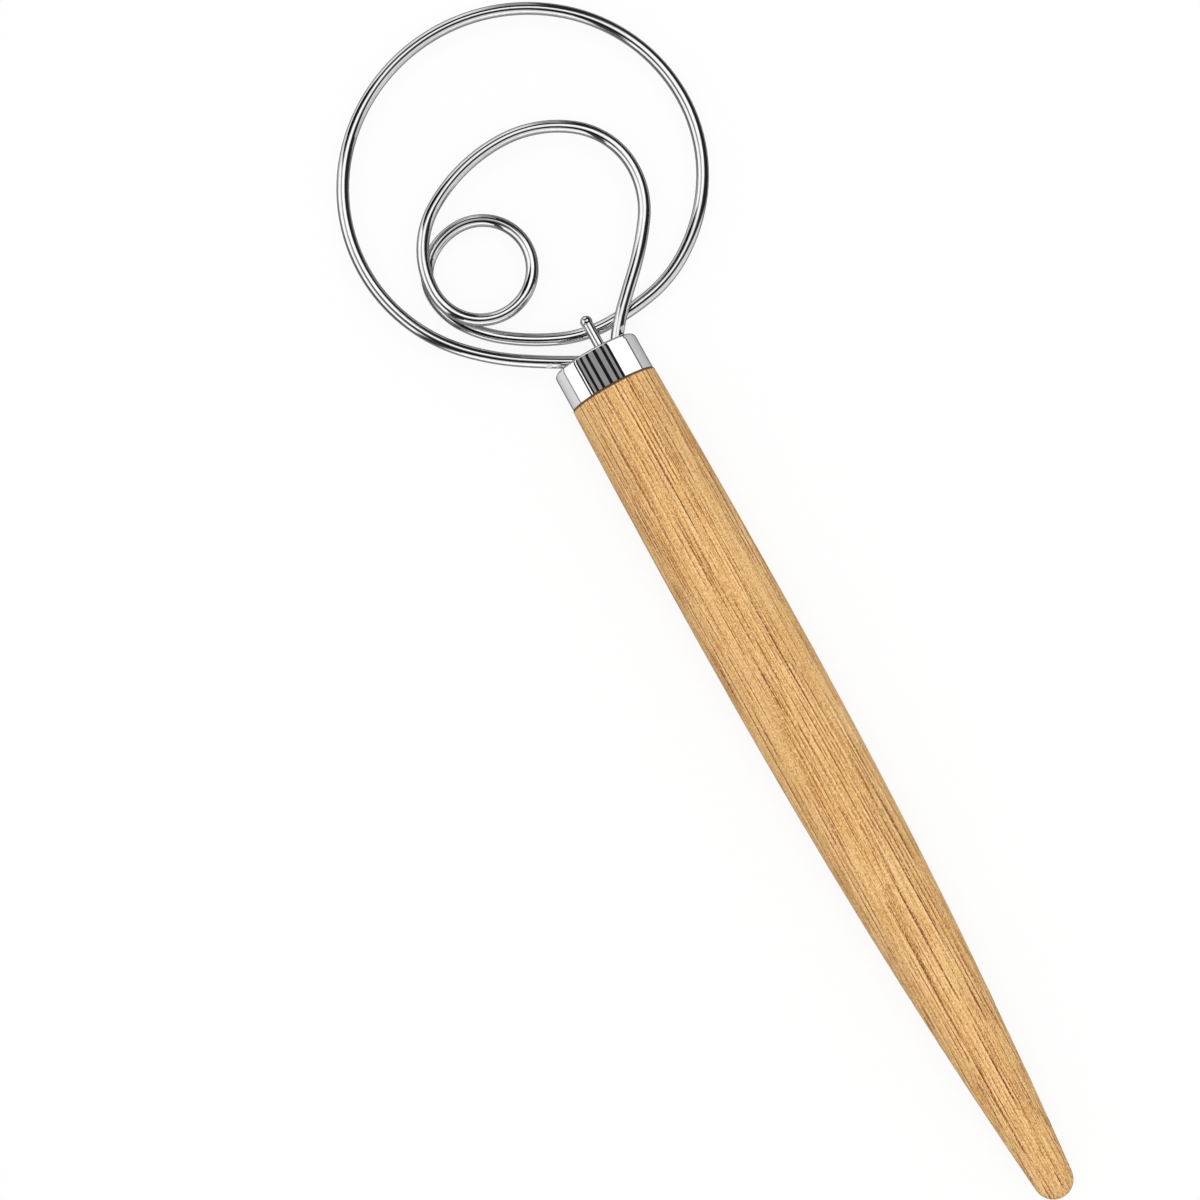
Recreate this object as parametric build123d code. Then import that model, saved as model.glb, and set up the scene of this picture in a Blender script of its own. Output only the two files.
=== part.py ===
from build123d import *
from math import acos, cos, degrees, pi, radians, sin, sqrt
import os

# A dough whisk: a round wooden handle, a steel end cap and a head of one bent steel wire.
# All sizes are in millimetres. The handle lies along X with the head towards +X. While the pieces are made,
# the axis of the handle is the X axis and X is zero where the wood meets the cap.

# Wooden handle
handle_length = 226.2
neck_diameter = 23.0
belly_diameter = 24.2
belly_distance = 65.0
tail_diameter = 10.0
tail_taper_angle = 5.5
shoulder_round = 0.5
tenon_chamfer = 0.4

# The handle's radius between the belly and the rounded tail. Each row is the share of the way to the tail
# and the share that is left of the difference between the two radii.
taper_shares = [(0.33, 0.90), (0.56, 0.705), (0.79, 0.386)]

# Steel end cap
ferrule_diameter = 22.6
ferrule_length = 10.0
ferrule_wall = 0.8
ferrule_face = 0.8
ferrule_rim_round = 1.3
tenon_fit = 0.1
hole_clearance = 0.2

# Whisk wire
wire_diameter = 3.2
bend_radius = 3.5
tang_length = 32.0
strand_gap = 0.5
start_across = 3.9
start_heading = 62.0
end_across = -6.4
end_heading = 146.0

# Outer ring, measured over the wire, and the way from the cap's face to the centre line of its near side
ring_length = 92.2
ring_width = 94.2
ring_standoff = 2.3
ring_offset = -5.4

# Small round loop and the oval loop beside it, measured over the wire
eye_diameter = 28.8
oval_length = 47.4
oval_width = 55.0

# The middles of the two inner loops, as shares of the ring's half length and half width from its own middle
eye_middle_share = (-0.317, 0.433)
oval_middle_share = (-0.229, 0.0)

# Places that the wire passes on each loop, in order. Each row is the place along and across, as shares of
# the loop's half length and half width from its middle, the share of the drop and the heading in degrees.
ring_shares = [
    (-0.672, 0.734, 0.0, 44),
    (0.0, 1.0, 0.13, 0),
    (1.0, 0.0, 0.46, -90),
    (0.0, -1.0, 0.78, 180),
    (-0.798, -0.56, 0.95, 122),
    (-0.924, -0.035, 1.0, 90),
    (-0.708, 0.503, 1.0, 53),
]
eye_shares = [
    (0.05, 1.078, 1.0, 0),
    (1.0, 0.0, 0.87, -90),
    (0.0, -1.0, 0.5, 180),
    (-1.0, 0.0, 0.13, 90),
    (0.05, 1.023, 0.0, 0),
]
oval_shares = [
    (1.0, 0.0, 0.0, -90),
    (0.0, -1.0, 0.0, 180),
    (-1.086, -0.479, 0.0, 134),
]

# Support peg
peg_diameter = 2.7
peg_ball_diameter = 3.1
peg_reach = 8.2
peg_across = -2.3
peg_tang_length = 24.0
peg_seat_gap = 0.3

# Adhesive
chamber_margin = 0.5
glue_line = 0.15

# Sizes that follow from the ones above
wire_radius = wire_diameter / 2
peg_radius = peg_diameter / 2
belly_radius = belly_diameter / 2
tail_radius = tail_diameter / 2
strand_drop = wire_diameter + strand_gap
cavity_radius = ferrule_diameter / 2 - ferrule_wall
cavity_length = ferrule_length - ferrule_face
start_bend = start_heading
end_bend = 180 - end_heading
tenon_length = ferrule_length - bend_radius * sin(radians(max(start_bend, end_bend))) - chamber_margin
start_tang_across = start_across - bend_radius * (1 - cos(radians(start_bend)))
end_tang_across = end_across + bend_radius * (1 - cos(radians(end_bend)))
peg_height = -strand_drop + wire_radius + peg_seat_gap + peg_radius
ring_half_length = (ring_length - wire_diameter) / 2
ring_half_width = (ring_width - wire_diameter) / 2
eye_radius = (eye_diameter - wire_diameter) / 2
oval_half_length = (oval_length - wire_diameter) / 2
oval_half_width = (oval_width - wire_diameter) / 2
ring_middle = (ferrule_length + ring_standoff + ring_half_length, ring_offset)
head_front = ring_middle[0] + ring_half_length + wire_radius

# Counts for measuring the wire's gap to itself: sample points, and how far apart along the wire two points
# lie before they count as different strands, in wire diameters
gap_points = 700
strand_apart_count = 4


def middle_of(share):
    """A loop's middle, from its shares of the ring's half sizes."""
    return (
        ring_middle[0] + share[0] * ring_half_length,
        ring_middle[1] + share[1] * ring_half_width,
    )


def places(middle, half_length, half_width, shares):
    """Points and headings on one loop. The level is left to the share of the drop."""
    return [
        (Vector(middle[0] + along * half_length, middle[1] + across * half_width, -drop * strand_drop), heading)
        for along, across, drop, heading in shares
    ]


def stations():
    """Every place that the wire passes between the two holes in the cap's face."""
    start = (Vector(ferrule_length, start_across, 0), start_heading)
    end = (Vector(ferrule_length, end_across, 0), end_heading)
    ring = places(ring_middle, ring_half_length, ring_half_width, ring_shares)
    eye = places(middle_of(eye_middle_share), eye_radius, eye_radius, eye_shares)
    oval = places(middle_of(oval_middle_share), oval_half_length, oval_half_width, oval_shares)
    return [start] + ring + eye + oval + [end]


def tangents(route):
    """The wire's direction at each station: its heading, with the slope that its neighbours give it."""
    directions = []
    for index, (point, heading) in enumerate(route):
        slope = 0
        if 0 < index < len(route) - 1:
            before = route[index - 1][0]
            after = route[index + 1][0]
            slope = (after.Z - before.Z) / ((after - point).length + (point - before).length)
        directions.append(Vector(cos(radians(heading)), sin(radians(heading)), slope).normalized())
    return directions


def biarc(start, start_direction, end, end_direction):
    """Two tangent arcs that leave start and reach end in the directions given."""
    chord = end - start
    both = start_direction + end_direction
    spread = 2 * (1 - start_direction.dot(end_direction))
    reach = (sqrt(chord.dot(both) ** 2 + spread * chord.dot(chord)) - chord.dot(both)) / spread
    joint = (start + end + (start_direction - end_direction) * reach) / 2
    first = TangentArc(start, joint, tangent=start_direction)
    second = TangentArc(joint, end, tangent=chord - both * reach)
    return [first, second]


def head_arcs():
    """The bent wire outside the cap, as tangent arcs in order."""
    route = stations()
    directions = tangents(route)
    arcs = []
    for index in range(len(route) - 1):
        arcs += biarc(route[index][0], directions[index], route[index + 1][0], directions[index + 1])
    return arcs


def wire_bends():
    """The two bends behind the cap's face that turn the wire into line with the handle."""
    start_face = Vector(ferrule_length, start_across, 0)
    end_face = Vector(ferrule_length, end_across, 0)
    start_tang = Vector(ferrule_length - bend_radius * sin(radians(start_bend)), start_tang_across, 0)
    end_tang = Vector(ferrule_length - bend_radius * sin(radians(end_bend)), end_tang_across, 0)
    end_direction = Vector(cos(radians(end_heading)), sin(radians(end_heading)), 0)
    return TangentArc(start_tang, start_face, tangent=(1, 0, 0)), TangentArc(
        end_face, end_tang, tangent=end_direction
    )


def wire_edges():
    """The wire's whole centre line, from one end in the wood to the other."""
    start_arc, end_arc = wire_bends()
    tang_end = tenon_length - tang_length
    start_line = Line((tang_end, start_tang_across, 0), start_arc @ 0)
    end_line = Line(end_arc @ 1, (tang_end, end_tang_across, 0))
    return [start_line, start_arc] + head_arcs() + [end_arc, end_line]


def tube(edges, radius):
    """A round bar that follows edges."""
    path = Wire([part_edge for edge in edges for part_edge in edge.edges()])
    section = Plane(origin=path @ 0, z_dir=path % 0) * Circle(radius)
    return sweep(section, path=path), path


def report_wire(solid, path):
    """Prints the wire's length, its volume against section times length, its tightest bend and least gap."""
    ideal = pi * wire_radius**2 * path.length
    print(f"wire length {path.length:.1f} mm, volume {solid.volume / ideal:.5f} of section times length")
    radii = [edge.radius for edge in path.edges() if edge.geom_type == GeomType.CIRCLE]
    print(f"tightest bend radius {min(radii):.2f} mm for a wire of {wire_diameter} mm")
    points = [path @ (index / gap_points) for index in range(gap_points + 1)]
    skip = int(strand_apart_count * wire_diameter / path.length * gap_points) + 1
    least = min(
        (points[index] - other).length for index in range(gap_points) for other in points[index + skip :]
    )
    print(f"least gap of the wire to itself {least - wire_diameter:.2f} mm")


def bar(start, end, across, height, radius):
    """A straight round bar along X."""
    plane = Plane(origin=(start, across, height), z_dir=(1, 0, 0))
    return extrude(plane * Circle(radius), amount=end - start)


def bores(clearance):
    """Straight holes in the wood for the wire's two ends and the peg."""
    wire_end = tenon_length - tang_length - clearance
    peg_end = tenon_length - peg_tang_length - clearance
    return [
        bar(wire_end, tenon_length, start_tang_across, 0, wire_radius + clearance),
        bar(wire_end, tenon_length, end_tang_across, 0, wire_radius + clearance),
        bar(peg_end, tenon_length, peg_across, peg_height, peg_radius + clearance),
    ]


def handle_outline():
    """Half the handle's section, from the shoulder past the belly to the rounded tail."""
    tail_middle = tail_radius - handle_length
    taper = radians(tail_taper_angle)
    tail_start = (tail_middle - tail_radius * sin(taper), tail_radius * cos(taper))
    half_way = (pi / 2 + taper) / 2
    tail_arc_middle = (tail_middle - tail_radius * sin(half_way), tail_radius * cos(half_way))
    way = tail_start[0] + belly_distance
    drop = belly_radius - tail_start[1]
    taper_points = [(way * along - belly_distance, tail_start[1] + drop * left) for along, left in taper_shares]
    belly = (-belly_distance, belly_radius)
    front = TangentArc(belly, (0, neck_diameter / 2), tangent=(1, 0))
    back = Spline(belly, *taper_points, tail_start, tangents=((-1, 0), (-cos(taper), -sin(taper))))
    tail = ThreePointArc(tail_start, tail_arc_middle, (-handle_length, 0))
    shoulder = Line((0, 0), (0, neck_diameter / 2))
    axis = Line((0, 0), (-handle_length, 0))
    return make_face(front.edges() + back.edges() + tail.edges() + shoulder.edges() + axis.edges())


def handle():
    """The turned handle, with the tenon that the cap sits on and the holes for wire and peg."""
    body = revolve(handle_outline(), axis=Axis.X)
    shoulder_edge = body.edges().filter_by(GeomType.CIRCLE).sort_by(Axis.X)[-1]
    body = fillet(shoulder_edge, shoulder_round)
    tenon = bar(-shoulder_round, tenon_length, 0, 0, cavity_radius - tenon_fit)
    tenon = chamfer(tenon.edges().sort_by(Axis.X)[-1], tenon_chamfer)
    return body + tenon - bores(glue_line)


def cavity():
    """The space inside the cap."""
    space = bar(0, cavity_length, 0, 0, cavity_radius)
    return fillet(space.edges().sort_by(Axis.X)[-1], max(ferrule_rim_round - ferrule_wall, ferrule_wall / 2))


def ferrule():
    """The drawn steel cap, with a hole in its face for each strand and for the peg."""
    shell = bar(0, ferrule_length, 0, 0, ferrule_diameter / 2)
    shell = fillet(shell.edges().sort_by(Axis.X)[-1], ferrule_rim_round) - cavity()
    start_arc, end_arc = wire_bends()
    arcs = head_arcs()
    start_hole, _ = tube([start_arc, arcs[0]], wire_radius + hole_clearance)
    end_hole, _ = tube([arcs[-1], end_arc], wire_radius + hole_clearance)
    peg_hole = bar(tenon_length, ferrule_length + peg_reach, peg_across, peg_height, peg_radius + hole_clearance)
    return shell - start_hole - end_hole - peg_hole


def peg():
    """The short straight peg in front of the crossing strand, with a ball on its end."""
    ball_middle = ferrule_length + peg_reach
    shaft = bar(tenon_length - peg_tang_length, ball_middle, peg_across, peg_height, peg_radius)
    return shaft + Pos(ball_middle, peg_across, peg_height) * Sphere(peg_ball_diameter / 2)


def resin(wire_solid, peg_solid):
    """The adhesive that fills the front of the cap and the holes round the wire's ends and the peg."""
    chamber = cavity() & bar(tenon_length, cavity_length, 0, 0, cavity_radius)
    return chamber + bores(glue_line) - wire_solid - peg_solid


def save(node, solid):
    """Writes one piece, moved so that the whole whisk lies on Z zero with its middle over the origin."""
    rest = Pos((handle_length - head_front) / 2, -ring_offset, belly_radius)
    placed = rest * solid
    placed.label = node
    export_step(placed, f"parts/{node}.step")


os.makedirs("parts", exist_ok=True)
wire_solid, wire_path = tube(wire_edges(), wire_radius)
peg_solid = peg()
report_wire(wire_solid, wire_path)
save("wooden_handle", handle())
save("end_ferrule", ferrule())
save("whisk_wire", wire_solid)
save("support_peg", peg_solid)
save("resin_fill", resin(wire_solid, peg_solid))
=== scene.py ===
from math import asin, atan2, copysign, cos, degrees, pi, radians, sin, sqrt, tau

import bpy
from mathutils import Matrix, Vector


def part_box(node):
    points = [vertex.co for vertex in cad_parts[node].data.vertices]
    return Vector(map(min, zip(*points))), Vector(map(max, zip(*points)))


# The looks of a dough whisk: a turned wooden handle, a polished steel cap and a head of one bent steel wire.
# Everything is in metres. The whisk lies along X with its head towards +X, and the floor is at Z zero.

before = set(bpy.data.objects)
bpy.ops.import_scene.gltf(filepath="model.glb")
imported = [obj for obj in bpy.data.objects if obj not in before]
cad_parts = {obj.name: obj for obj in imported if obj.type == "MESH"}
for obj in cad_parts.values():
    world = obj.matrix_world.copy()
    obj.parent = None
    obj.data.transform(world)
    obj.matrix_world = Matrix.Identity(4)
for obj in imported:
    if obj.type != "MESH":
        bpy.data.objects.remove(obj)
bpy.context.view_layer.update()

# Camera: where it looks, how far off it is, how many degrees it leans back from straight overhead and how
# many the picture is turned. The lens and the sensor are in millimetres.
camera_target = Vector((0.01728, 0.03364, 0.0121))
camera_distance = 0.82462
camera_lean = 5.0
camera_turn = 61.066
camera_lens = 100.0
camera_sensor = 36.0

# Light
lamp_size = 1.3
lamp_height = 1.6
lamp_back = 0.12
lamp_power = 15.2
sky_strength = 0.65

# Floor: how far it reaches each way, how white it is, and how much of it the picture shows as plain white
floor_reach = 6.0
floor_white = 0.88
floor_glow_share = 0.88

# Grain. Each noise has the lengths over which it changes along the handle, across it and down through it.
sway_sizes = (0.150, 0.030, 0.030)
band_sizes = (0.080, 0.0042, 0.012)
tint_sizes = (0.055, 0.0024, 0.006)
streak_sizes = (0.026, 0.00048, 0.0018)
fibre_sizes = (0.028, 0.00026, 0.0010)
dash_sizes = (0.015, 0.00030, 0.0016)
cluster_sizes = (0.045, 0.0040, 0.0070)
pore_sizes = (0.0030, 0.00020, 0.00026)
speckle_sizes = (0.0005, 0.00026, 0.0003)
sway_reach = 0.0030

# Where each noise starts, so that no two are alike
sway_seed = 0.0
band_seed = 2.0
streak_seed = 3.0
tint_seed = 5.0
fibre_seed = 11.0
dash_seed = 23.0
cluster_seed = 29.0
pore_seed = 43.0

# Growth lines. Each set has its spacing, a line's half width, how far the spacing varies, the lengths over
# which a line and its dashes come and go, and its seed.
line_sets = [
    (0.0036, 0.00030, 0.0080, 0.070, 0.030, 19.0),
    (0.0010, 0.00020, 0.0026, 0.042, 0.012, 31.0),
]

# How slowly the spacing changes: along the handle, and across it as a multiple of how far it varies
spacing_wander = 0.9
spacing_spread = 3

# How slowly lines and dashes change down through the wood, and how alike neighbours are: well under one, so
# that each line has breaks of its own
line_depth = 0.030
dash_depth = 0.003
line_likeness = 0.37
dash_likeness = 0.41
line_seed_gap = 5.0
dash_seed_gap = 9.0

# Levels of the noise at which a line and its dashes start and are full, and how far sideways the surface
# faces where all lines end and where they are full
line_levels = (0.34, 0.52)
dash_levels = (0.34, 0.54)
crossing_levels = (0.99, 0.86)

# Shares of a line's half width: its soft edge, the middle of the pale line beside it, and how far from there
# the pale line ends and is full
line_edge_share = 0.7
pale_middle_share = 1.9
pale_end_share = 1.3
pale_full_share = 0.3

# Surface of the wood: its relief, how much each part of the grain gives to it, and how rough and glossy it
# is. Here and below, levels are those of a noise between which something rises from nothing to full.
grain_relief = 0.00005
grain_relief_strength = 0.35
streak_relief_share = 0.5
fibre_relief_share = 0.35
line_relief_share = 0.4
pore_relief_share = 0.3
wood_roughness = (0.42, 0.58)
wood_rough_levels = (0.2, 0.8)
wood_gloss = 0.28

# Painted shade at the seam between the wood and the cap: a dark line on the wood that stands for the shadow
# in the joint, with darker end grain
seam_shade_width = 0.0008
seam_shade_edge = 0.0003

# Steel: its waves, its fine wear and scratches, how bright it is in front, where worn and at its edges
cap_wave_size = 0.009
wire_wave_size = 0.006
cap_wave_depth = 0.000004
wire_wave_depth = 0.00001
wave_strength = 0.5
wear_size = 0.0016
scratch_sizes = (0.004, 0.00012, 0.00012)
cap_tone = 0.84
wire_tone = 0.80
worn_tone = 0.90
cap_edge_tone = 0.60
wire_edge_tone = 0.35
steel_roughness = (0.04, 0.09)
scratch_roughness = 0.05
worn_tone_levels = (0.30, 0.75)
steel_rough_levels = (0.3, 0.8)
scratch_levels = (0.62, 0.8)

# Adhesive
cloud_size = 0.0012
grit_size = 0.0003
grit_relief = 0.00005
grit_relief_strength = 0.4
resin_tone = (150, 122, 80)
resin_pale_tone = (196, 170, 120)
resin_roughness = (0.25, 0.45)
resin_rough_levels = (0.3, 0.7)

# Studio that the steel mirrors: a dome whose white walls darken downwards to a grey rim. The fade and the rim
# have the degrees from the top at which they start and are full. The guard avoids a division by zero there.
dome_radius = 3.0
dome_rings = 24
dome_sides = 48
dome_level = 1.14
dome_low_level = 0.26
dome_fade = (78, 100)
dome_rim_level = 0.34
dome_rim = (104, 126)
dome_pole_guard = 0.0001

# Cards on the dome. Each has its degrees to the right and up in the picture from the way back to the camera,
# its half sizes in degrees, its soft edge as a share of them, its turn in degrees, how square its corners are
# and how bright it is.
studio_cards = [
    (62, -32, 50, 38, 0.45, -30, 2.2, 0.76),
    (4, -34, 34, 14, 0.50, 0, 2.0, 0.70),
    (-2, -68, 42, 17, 0.35, 0, 2.2, 1.20),
    (-92, -46, 56, 28, 0.45, -60, 2.4, 0.06),
    (-62, 74, 62, 28, 0.40, 36, 2.4, 0.86),
    (-8, 88, 11, 34, 0.60, 0, 2.0, 0.30),
    (60, 70, 62, 76, 0.05, 0, 8.0, 0.02),
    (6, 33, 25, 23, 0.35, 0, 2.0, 1.20),
    (-18, 51, 33, 14, 0.30, 10, 2.4, 0.02),
    (-25, 30, 12, 10, 0.60, 0, 2.0, 0.50),
    (-25, 3, 15, 20, 0.60, 10, 2.0, 0.13),
    (-49, 42, 25, 12, 0.10, -20, 2.4, 0.005),
    (-39, -46, 46, 9, 0.35, 57, 3.0, 0.05),
    (3, 2, 18, 12, 0.60, 0, 2.0, 0.20),
    (0, -9, 34, 15, 0.30, 8, 2.4, 0.02),
    (-17, -14, 17, 17, 0.30, 0, 2.0, 0.01),
]

# Liner, a striped reflector round the cap. Its front is drawn in to a lip, so that the cap's rounded rim
# mirrors it too. It is clear to what is further off than its reach, as most of the wire is. Its soft edges
# are in degrees.
liner_radius = 0.0136
liner_back = 0.0012
liner_front = 0.0006
liner_lip = 0.0016
liner_lip_radius = 0.0118
liner_reach = 0.0055
liner_sides = 144
liner_white = 1.2
liner_grey = 0.31
liner_black = 0.012
liner_edge = 0.25

# Where its stripes show in the picture, as shares of the cap's half width, positive towards +Y: the ends of
# the grey middle, and each black line's middle and half width
liner_grey_shares = (-0.375, 0.432)
liner_line_shares = [
    (-0.341, 0.030),
    (-0.216, 0.034),
    (-0.039, 0.042),
    (0.152, 0.034),
    (0.302, 0.030),
    (0.411, 0.022),
    (0.475, 0.017),
]

# Its grey side walls: the share where each begins, how bright it is, and how bright the line is that it
# begins with. The two lines have one half width.
liner_wall_shares = [
    (-0.775, 0.64, 0.10),
    (0.765, 0.80, 0.30),
]
liner_wall_line_share = 0.014

handle_low, handle_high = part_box("wooden_handle")
cap_low, cap_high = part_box("end_ferrule")
wire_low, wire_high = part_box("whisk_wire")
axis = (handle_low + handle_high) / 2
seam_shade_x = cap_low.x - seam_shade_width
head_middle = Vector(((cap_high.x + wire_high.x) / 2, (wire_low.y + wire_high.y) / 2, axis.z))


# Nodes

class Graph:
    """A short way to write a node tree."""

    def __init__(self, tree):
        self.tree = tree
        tree.nodes.clear()

    def node(self, kind, settings=None, **inputs):
        """A node of one kind, with its settings, and with values or sockets for its inputs."""
        made = self.tree.nodes.new(kind)
        for name, value in (settings or {}).items():
            setattr(made, name, value)
        for name, value in inputs.items():
            self.fill(made.inputs[name.replace("_", " ")], value)
        return made

    def fill(self, socket, value):
        """Links a socket, or sets its own value."""
        if isinstance(value, bpy.types.NodeSocket):
            self.tree.links.new(value, socket)
        else:
            socket.default_value = value

    def fill_all(self, made, values):
        """Fills a node's inputs in their order."""
        for socket, value in zip(made.inputs, values):
            self.fill(socket, value)

    def math(self, operation, *values):
        """An operation on numbers."""
        made = self.node("ShaderNodeMath", {"operation": operation})
        self.fill_all(made, values)
        return made.outputs[0]

    def vector(self, operation, *values):
        """An operation on vectors."""
        made = self.node("ShaderNodeVectorMath", {"operation": operation})
        self.fill_all(made, values)
        return made.outputs["Vector"]

    def place(self):
        """Where a point is, in the piece's own axes."""
        return self.node("ShaderNodeTexCoord").outputs["Object"]

    def split(self, vector):
        """The three parts of a vector."""
        return self.node("ShaderNodeSeparateXYZ", None, Vector=vector).outputs

    def ramp(self, value, start, end, low=0.0, high=1.0):
        """A smooth step from low where the value is at start, to high where it is at end."""
        made = self.node("ShaderNodeMapRange", {"interpolation_type": "SMOOTHSTEP"}, Value=value)
        for name, limit in (("From Min", start), ("From Max", end), ("To Min", low), ("To Max", high)):
            self.fill(made.inputs[name], limit)
        return made.outputs["Result"]

    def centred(self, value, reach):
        """A noise turned into a swing to both sides of zero."""
        return self.math("MULTIPLY", self.math("SUBTRACT", value, 0.5), reach)

    def mix(self, factor, first, second):
        """Two colours mixed by a factor."""
        made = self.node("ShaderNodeMix", {"data_type": "RGBA"})
        colours = [socket for socket in made.inputs if socket.type == "RGBA"]
        self.fill(made.inputs["Factor"], factor)
        self.fill(colours[0], first)
        self.fill(colours[1], second)
        return next(socket for socket in made.outputs if socket.type == "RGBA")

    def noise(self, place, detail, roughness=0.5):
        """A noise with patches of size one."""
        settings = {"Vector": place, "Scale": 1.0, "Detail": detail, "Roughness": roughness}
        return self.node("ShaderNodeTexNoise", None, **settings).outputs["Fac"]

    def noise_of_size(self, place, size, detail=2.0, roughness=0.5):
        """A noise with patches of one size, or of one size along each axis."""
        sizes = size if isinstance(size, tuple) else (size,) * 3
        return self.noise(self.vector("DIVIDE", place, sizes), detail, roughness)

    def grain(self, parts, sizes, seed, detail=2.0):
        """A noise that is stretched by its own length for each part of the place."""
        made = self.node("ShaderNodeCombineXYZ")
        self.fill_all(made, [self.math("DIVIDE", part, size) for part, size in zip(parts, sizes)])
        return self.noise(self.vector("ADD", made.outputs["Vector"], (seed, 0, 0)), detail)

    def shader(self, kind, **inputs):
        """A surface or a bump of one kind."""
        return self.node(kind, None, **inputs).outputs[0]

    def choose(self, factor, first, second):
        """Two surfaces mixed by a factor."""
        made = self.node("ShaderNodeMixShader")
        self.fill_all(made, (factor, first, second))
        return made.outputs[0]

    def finish(self, surface, kind="ShaderNodeOutputMaterial"):
        """Ends the tree in a surface."""
        self.node(kind, None, Surface=surface)


def new_material(name):
    """A material and the graph of its nodes."""
    material = bpy.data.materials.new(name)
    material.use_nodes = True
    return material, Graph(material.node_tree)


def colour(red, green, blue):
    """A colour written as 0 to 255, as linear light."""
    channels = [value / 255 for value in (red, green, blue)]
    return (*[c / 12.92 if c <= 0.04045 else ((c + 0.055) / 1.055) ** 2.4 for c in channels], 1.0)


def grey(level):
    """A grey written as linear light."""
    return (level, level, level, 1.0)


def dress(node, material):
    """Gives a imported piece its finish."""
    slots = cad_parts[node].data.materials
    slots.clear()
    slots.append(material)


# Wood

def growth_lines(g, parts, crossing, spacing, half_width, variation, line_length, dash_length, seed):
    """Thin broken lines along the growth rings: how dark, and how pale just beside them."""
    x, across, z = parts
    uneven = g.grain(parts, (spacing_wander, spacing_spread * variation, line_depth), seed, detail=1.0)
    turn = g.math("DIVIDE", g.math("ADD", across, g.centred(uneven, variation)), spacing)
    way = g.math("MULTIPLY", g.math("SUBTRACT", g.math("FRACT", turn), 0.5), spacing)
    by_line = (x, g.math("FLOOR", turn), z)
    line = g.grain(by_line, (line_length, line_likeness, line_depth), seed + line_seed_gap, detail=1.0)
    dash = g.grain(by_line, (dash_length, dash_likeness, dash_depth), seed + dash_seed_gap)
    strength = g.math("MULTIPLY", g.ramp(line, *line_levels), g.ramp(dash, *dash_levels))
    strength = g.math("MULTIPLY", strength, crossing)
    reach = g.math("SUBTRACT", g.math("MULTIPLY", strength, half_width), g.math("ABSOLUTE", way))
    dark = g.ramp(reach, 0.0, line_edge_share * half_width)
    beside = g.math("ABSOLUTE", g.math("SUBTRACT", way, pale_middle_share * half_width))
    pale = g.ramp(beside, pale_end_share * half_width, pale_full_share * half_width)
    return dark, g.math("MULTIPLY", pale, strength)


def wood_material():
    """Straight-grained golden wood: broken dark lines, fine streaks, pores and a satin surface."""
    material, g = new_material("oiled_wood")
    place = g.place()
    x, y, z = g.split(place)
    sway = g.grain((x, y, z), sway_sizes, sway_seed, detail=1.0)
    parts = (x, g.math("ADD", y, g.centred(sway, sway_reach)), z)

    bands = g.grain(parts, band_sizes, band_seed)
    tints = g.grain(parts, tint_sizes, tint_seed)
    streaks = g.grain(parts, streak_sizes, streak_seed)
    fibres = g.grain(parts, fibre_sizes, fibre_seed, detail=1.0)
    dashes = g.grain(parts, dash_sizes, dash_seed, detail=1.0)
    clusters = g.grain(parts, cluster_sizes, cluster_seed)
    pores = g.grain(parts, pore_sizes, pore_seed, detail=0.0)
    speckle = g.noise_of_size(place, speckle_sizes, detail=1.0)

    normal = g.node("ShaderNodeNewGeometry").outputs["Normal"]
    crossing = g.ramp(g.math("ABSOLUTE", g.split(normal)["Y"]), *crossing_levels)
    (strong, strong_pale), (fine, fine_pale) = [growth_lines(g, parts, crossing, *row) for row in line_sets]
    dash = g.math("MULTIPLY", g.ramp(dashes, 0.56, 0.68), g.ramp(clusters, 0.44, 0.60))
    pore = g.math("MULTIPLY", g.ramp(pores, 0.62, 0.74), g.ramp(clusters, 0.40, 0.60))

    # From below: where each layer shows, how much of it, and its tone. A ramp is between levels of a noise.
    layers = [
        (g.ramp(tints, 0.52, 0.70), 0.40, (208, 162, 110)),
        (g.ramp(tints, 0.46, 0.30), 0.30, (224, 162, 82)),
        (g.ramp(streaks, 0.48, 0.26), 0.80, (174, 108, 32)),
        (g.ramp(streaks, 0.54, 0.74), 0.70, (242, 203, 146)),
        (g.ramp(fibres, 0.48, 0.26), 0.66, (164, 94, 24)),
        (g.ramp(fibres, 0.52, 0.74), 0.62, (250, 213, 160)),
        (fine_pale, 0.40, (246, 206, 146)),
        (strong_pale, 0.50, (248, 210, 152)),
        (g.ramp(dashes, 0.42, 0.30), 0.25, (242, 200, 140)),
        (pore, 0.50, (136, 74, 16)),
        (fine, 0.86, (136, 68, 8)),
        (dash, 0.80, (138, 66, 10)),
        (strong, 0.96, (112, 48, 2)),
        (g.ramp(speckle, 0.50, 0.74), 0.56, (132, 74, 16)),
        (g.ramp(speckle, 0.50, 0.28), 0.54, (252, 220, 164)),
        # Painted shade with darker end grain: a dark line on the wood at the cap's seam, where the joint's
        # shadow falls
        (g.ramp(x, seam_shade_x, seam_shade_x + seam_shade_edge), 0.90, (66, 44, 28)),
    ]
    base = g.mix(g.ramp(bands, 0.36, 0.64), colour(215, 168, 100), colour(223, 176, 110))
    for mask, share, tone in layers:
        base = g.mix(g.math("MULTIPLY", mask, share), base, colour(*tone))

    height = g.math("MULTIPLY", streaks, streak_relief_share)
    reliefs = [(fibres, fibre_relief_share), (strong, -line_relief_share), (pore, -pore_relief_share)]
    for mask, share in reliefs:
        height = g.math("ADD", height, g.math("MULTIPLY", mask, share))
    bump = g.shader("ShaderNodeBump", Strength=grain_relief_strength, Distance=grain_relief, Height=height)
    rough = g.ramp(streaks, *wood_rough_levels, *wood_roughness)
    look = {"Base_Color": base, "Roughness": rough, "Normal": bump}
    g.finish(g.shader("ShaderNodeBsdfPrincipled", Specular_IOR_Level=wood_gloss, **look))
    return material


# Steel

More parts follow.
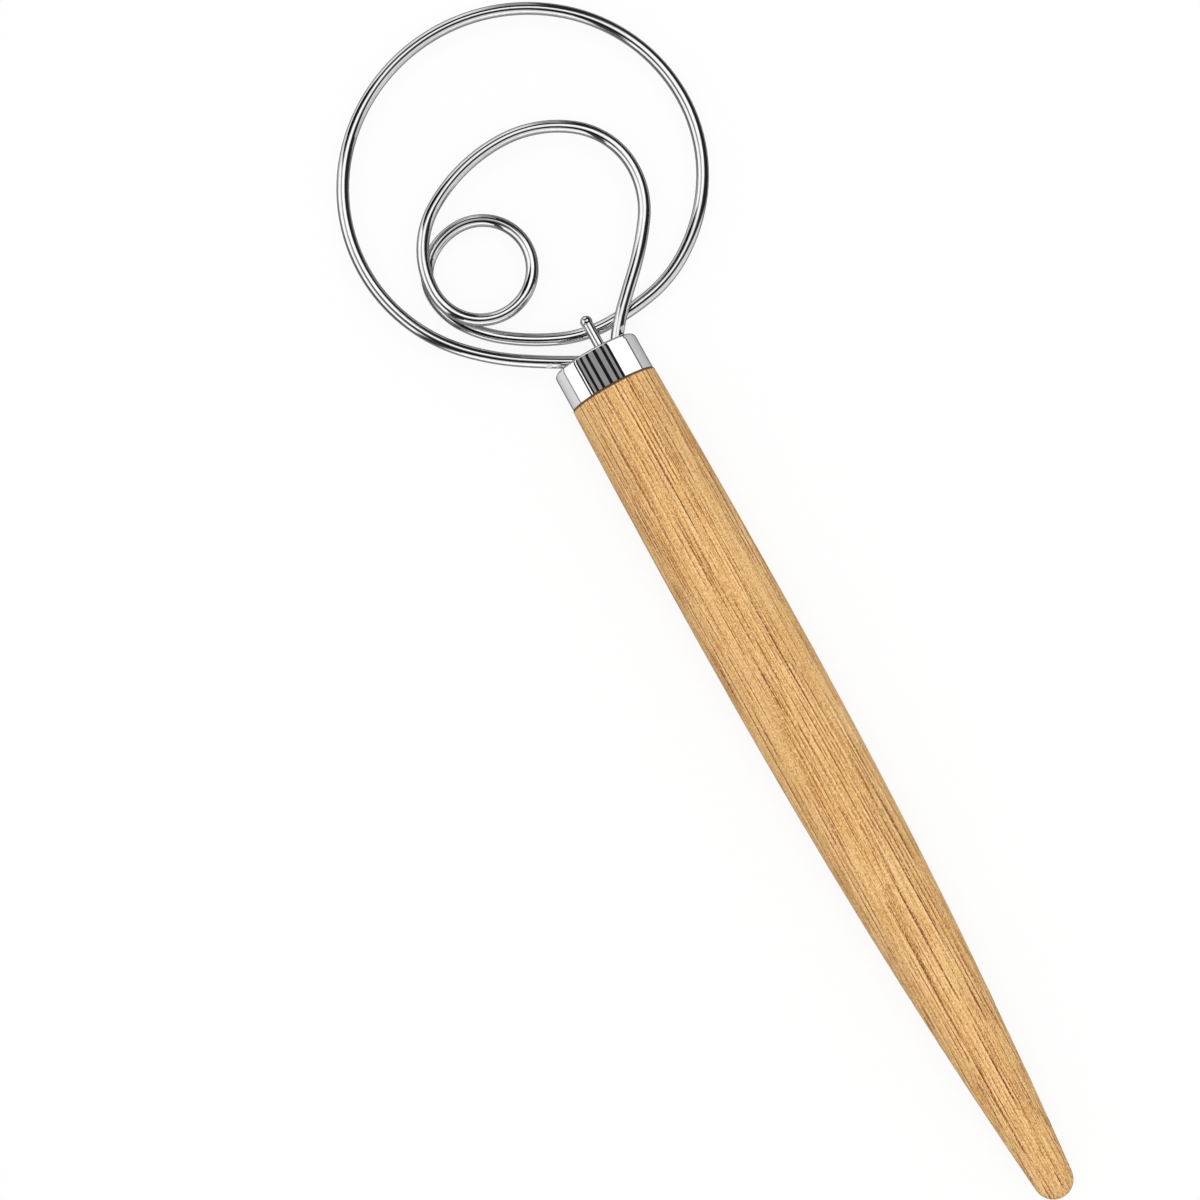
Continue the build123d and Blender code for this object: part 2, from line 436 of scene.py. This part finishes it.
def steel_material(name, wave_size, wave_depth, tone, edge_tone):
    """Polished stainless steel: nearly a mirror, a little wavy, with fine wear and darker edges."""
    material, g = new_material(name)
    place = g.place()
    wave = g.noise_of_size(place, wave_size, detail=1.0)
    wear = g.noise_of_size(place, wear_size, detail=5.0, roughness=0.65)
    scratch = g.noise_of_size(place, scratch_sizes, detail=3.0)
    base = g.mix(g.ramp(wear, *worn_tone_levels), grey(tone), grey(worn_tone))
    worn = g.ramp(wear, *steel_rough_levels, *steel_roughness)
    rough = g.math("ADD", worn, g.ramp(scratch, *scratch_levels, 0.0, scratch_roughness))
    bump = g.shader("ShaderNodeBump", Strength=wave_strength, Distance=wave_depth, Height=wave)
    look = {"Base_Color": base, "Metallic": 1.0, "Roughness": rough, "Normal": bump}
    g.finish(g.shader("ShaderNodeBsdfPrincipled", Specular_Tint=grey(edge_tone), **look))
    return material


# Adhesive

def resin_material():
    """Cured amber adhesive with small cloudy spots."""
    material, g = new_material("cured_adhesive")
    place = g.place()
    cloud = g.noise_of_size(place, cloud_size, detail=4.0)
    grit = g.noise_of_size(place, grit_size)
    base = g.mix(cloud, colour(*resin_tone), colour(*resin_pale_tone))
    bump = g.shader("ShaderNodeBump", Strength=grit_relief_strength, Distance=grit_relief, Height=grit)
    rough = g.ramp(cloud, *resin_rough_levels, *resin_roughness)
    g.finish(g.shader("ShaderNodeBsdfPrincipled", Base_Color=base, Roughness=rough, Normal=bump))
    return material


# Stage

def seen_rays(g):
    """One for the rays that show the background: straight to the camera, mirrored or through glass."""
    path = g.node("ShaderNodeLightPath")
    seen = g.math("MAXIMUM", path.outputs["Is Camera Ray"], path.outputs["Is Glossy Ray"])
    return g.math("MAXIMUM", seen, path.outputs["Is Transmission Ray"])


def add_mesh(name, points, faces):
    """A stage piece made of these points and faces."""
    mesh = bpy.data.meshes.new(name)
    mesh.from_pydata(points, [], faces)
    piece = bpy.data.objects.new(name, mesh)
    bpy.context.scene.collection.objects.link(piece)
    return piece


def only_mirrored(piece):
    """Lets a stage piece show in reflections and nowhere else."""
    piece.visible_camera = False
    piece.visible_diffuse = False
    piece.visible_transmission = False
    piece.visible_volume_scatter = False
    piece.visible_shadow = False


def add_floor():
    """A plain white floor that keeps the whisk's soft shadow. The steel mirrors the studio in its place."""
    corners = [(floor_reach * x, floor_reach * y, 0) for x, y in ((-1, -1), (1, -1), (1, 1), (-1, 1))]
    floor = add_mesh("floor", corners, [(0, 1, 2, 3)])
    floor.visible_glossy = False
    material, g = new_material("floor_white")
    lit = g.shader("ShaderNodeBsdfDiffuse", Color=grey(floor_white))
    glow = g.shader("ShaderNodeEmission", Color=grey(1.0), Strength=1.0)
    g.finish(g.choose(g.math("MULTIPLY", seen_rays(g), floor_glow_share), lit, glow))
    floor.data.materials.append(material)


def add_sky():
    """An even pale sky for the light, and white behind everything."""
    world = bpy.data.worlds.new("sky")
    bpy.context.scene.world = world
    world.use_nodes = True
    g = Graph(world.node_tree)
    strength = g.ramp(seen_rays(g), 0.0, 1.0, sky_strength, 1.0)
    sky = g.shader("ShaderNodeBackground", Color=grey(1.0), Strength=strength)
    g.finish(sky, "ShaderNodeOutputWorld")


def add_lamp():
    """One large soft lamp overhead."""
    data = bpy.data.lights.new("overhead_lamp", "AREA")
    data.shape = "SQUARE"
    data.size = lamp_size
    data.energy = lamp_power
    lamp = bpy.data.objects.new("overhead_lamp", data)
    lamp.location = (-lamp_back, 0, lamp_height)
    lamp.visible_glossy = False
    bpy.context.scene.collection.objects.link(lamp)


def picture_axes():
    """The picture's right and up directions, and the direction back to the camera."""
    lean = radians(camera_lean)
    turn = radians(camera_turn)
    back = Vector((-sin(lean), 0, cos(lean)))
    along = Vector((cos(lean), 0, sin(lean)))
    across = Vector((0, 1, 0))
    right = -cos(turn) * along - sin(turn) * across
    up = sin(turn) * along - cos(turn) * across
    return right, up, back


picture_right, picture_up, picture_back = picture_axes()
eye = camera_target + picture_back * camera_distance


def turned_to(right, up, back, place):
    """The placing of a thing with these axes."""
    return Matrix.Translation(place) @ Matrix((right, up, back)).transposed().to_4x4()


def add_camera():
    """The camera, at the height and turn that the picture was taken from."""
    data = bpy.data.cameras.new("camera")
    data.lens = camera_lens
    data.sensor_width = camera_sensor
    camera = bpy.data.objects.new("camera", data)
    camera.matrix_world = turned_to(picture_right, picture_up, picture_back, eye)
    bpy.context.scene.collection.objects.link(camera)
    bpy.context.scene.camera = camera


def dome_mesh():
    """Points and faces of a ball round zero."""
    points = [(0, 0, dome_radius)]
    for ring in range(1, dome_rings):
        tilt = pi * ring / dome_rings
        out = dome_radius * sin(tilt)
        for side in range(dome_sides):
            way = tau * side / dome_sides
            points.append((out * cos(way), out * sin(way), dome_radius * cos(tilt)))
    points.append((0, 0, -dome_radius))
    last = len(points) - 1
    faces = []
    for side in range(dome_sides):
        after = (side + 1) % dome_sides
        faces.append((0, 1 + side, 1 + after))
        faces.append((last, last - dome_sides + after, last - dome_sides + side))
        for ring in range(dome_rings - 2):
            start = 1 + ring * dome_sides
            faces.append((start + side, start + dome_sides + side, start + dome_sides + after, start + after))
    return points, faces


def card_mask(g, across, rise, right, up, half_right, half_up, edge, turn, corner):
    """One inside a studio card and zero outside, with a soft edge."""
    side = g.math("SUBTRACT", across, right)
    lift = g.math("SUBTRACT", rise, up)
    cosine = cos(radians(turn))
    sine = sin(radians(turn))
    along = g.math("ADD", g.math("MULTIPLY", side, cosine), g.math("MULTIPLY", lift, sine))
    off = g.math("SUBTRACT", g.math("MULTIPLY", lift, cosine), g.math("MULTIPLY", side, sine))
    along = g.math("POWER", g.math("ABSOLUTE", g.math("DIVIDE", along, half_right)), corner)
    off = g.math("POWER", g.math("ABSOLUTE", g.math("DIVIDE", off, half_up)), corner)
    reach = g.math("POWER", g.math("ADD", along, off), 1 / corner)
    return g.ramp(reach, 1 + edge, 1 - edge)


def add_studio():
    """The white walls and the cards round the head, which only the steel shows."""
    dome = add_mesh("studio", *dome_mesh())
    only_mirrored(dome)
    overhead = (eye - head_middle).normalized()
    right = (picture_right - overhead * picture_right.dot(overhead)).normalized()
    dome.matrix_world = turned_to(right, overhead.cross(right), overhead, head_middle)
    material, g = new_material("studio_walls")
    x, y, z = g.split(g.vector("NORMALIZE", g.place()))
    tilt = g.math("MULTIPLY", g.math("ARCCOSINE", z), degrees(1))
    flat = g.math("SQRT", g.math("SUBTRACT", 1 + dome_pole_guard, g.math("MULTIPLY", z, z)))
    across = g.math("MULTIPLY", tilt, g.math("DIVIDE", x, flat))
    rise = g.math("MULTIPLY", tilt, g.math("DIVIDE", y, flat))
    level = g.mix(g.ramp(tilt, *dome_fade), grey(dome_level), grey(dome_low_level))
    for *shape, brightness in studio_cards:
        level = g.mix(card_mask(g, across, rise, *shape), level, grey(brightness))
    level = g.mix(g.ramp(tilt, *dome_rim), level, grey(dome_rim_level))
    g.finish(g.shader("ShaderNodeEmission", Color=level, Strength=1.0))
    dome.data.materials.append(material)


def liner_mesh():
    """Points and faces of the reflector, round the handle's axis."""
    rings = [
        (cap_low.x - liner_back, liner_radius),
        (cap_high.x + liner_front, liner_radius),
        (cap_high.x + liner_lip, liner_lip_radius),
    ]
    points = []
    faces = []
    for side in range(liner_sides):
        way = tau * side / liner_sides
        points += [(x, radius * sin(way), radius * cos(way)) for x, radius in rings]
        start = side * len(rings)
        after = (side + 1) % liner_sides * len(rings)
        for step in range(len(rings) - 1):
            faces.append((start + step, after + step, after + step + 1, start + step + 1))
    return points, faces


def liner_angle(share):
    """The degrees from straight up, on the liner, of what the cap shows at this share of its half width."""
    radius = (cap_high.z - cap_low.z) / 2
    lean = asin(share)
    normal = lean + atan2(eye.y - axis.y, eye.z - axis.z)
    way = normal + lean
    start = Vector((radius * sin(normal), radius * cos(normal)))
    ray = Vector((sin(way), cos(way)))
    along = start.dot(ray)
    hit = start + ray * (sqrt(along**2 + liner_radius**2 - radius**2) - along)
    return degrees(atan2(hit.x, hit.y))


def liner_stripes(g):
    """How bright the liner is: white, with a wall at each side, a grey middle, and lines over them."""
    _, y, z = g.split(g.place())
    way = g.math("MULTIPLY", g.math("ARCTAN2", y, z), degrees(1))

    def between(low, high):
        start = liner_angle(low)
        end = liner_angle(high)
        inside = g.ramp(way, start - liner_edge, start + liner_edge)
        return g.math("MULTIPLY", inside, g.ramp(way, end + liner_edge, end - liner_edge))

    level = grey(liner_white)
    lines = [(centre, half, liner_black) for centre, half in liner_line_shares]
    for share, wall, line in liner_wall_shares:
        side = copysign(1, share)
        level = g.mix(between(min(share, side), max(share, side)), level, grey(wall))
        lines.append((share, liner_wall_line_share, line))
    level = g.mix(between(*liner_grey_shares), level, grey(liner_grey))
    for centre, half, tone in lines:
        level = g.mix(between(centre - half, centre + half), level, grey(tone))
    return level


def add_liner():
    """The striped reflector round the cap. It is clear from outside and past its reach."""
    liner = add_mesh("cap_liner", *liner_mesh())
    only_mirrored(liner)
    liner.location = (0, axis.y, axis.z)
    material, g = new_material("cap_liner")
    outside = g.node("ShaderNodeNewGeometry").outputs["Backfacing"]
    far = g.math("GREATER_THAN", g.node("ShaderNodeLightPath").outputs["Ray Length"], liner_reach)
    glow = g.shader("ShaderNodeEmission", Color=liner_stripes(g), Strength=1.0)
    g.finish(g.choose(g.math("MAXIMUM", outside, far), glow, g.shader("ShaderNodeBsdfTransparent")))
    liner.data.materials.append(material)


add_camera()
add_floor()
add_sky()
add_lamp()
add_studio()
add_liner()
dress("wooden_handle", wood_material())
dress("end_ferrule", steel_material("mirror_cap", cap_wave_size, cap_wave_depth, cap_tone, cap_edge_tone))
for node, name in (("whisk_wire", "mirror_wire"), ("support_peg", "mirror_peg")):
    dress(node, steel_material(name, wire_wave_size, wire_wave_depth, wire_tone, wire_edge_tone))
dress("resin_fill", resin_material())

bpy.context.scene.view_settings.view_transform = "Standard"
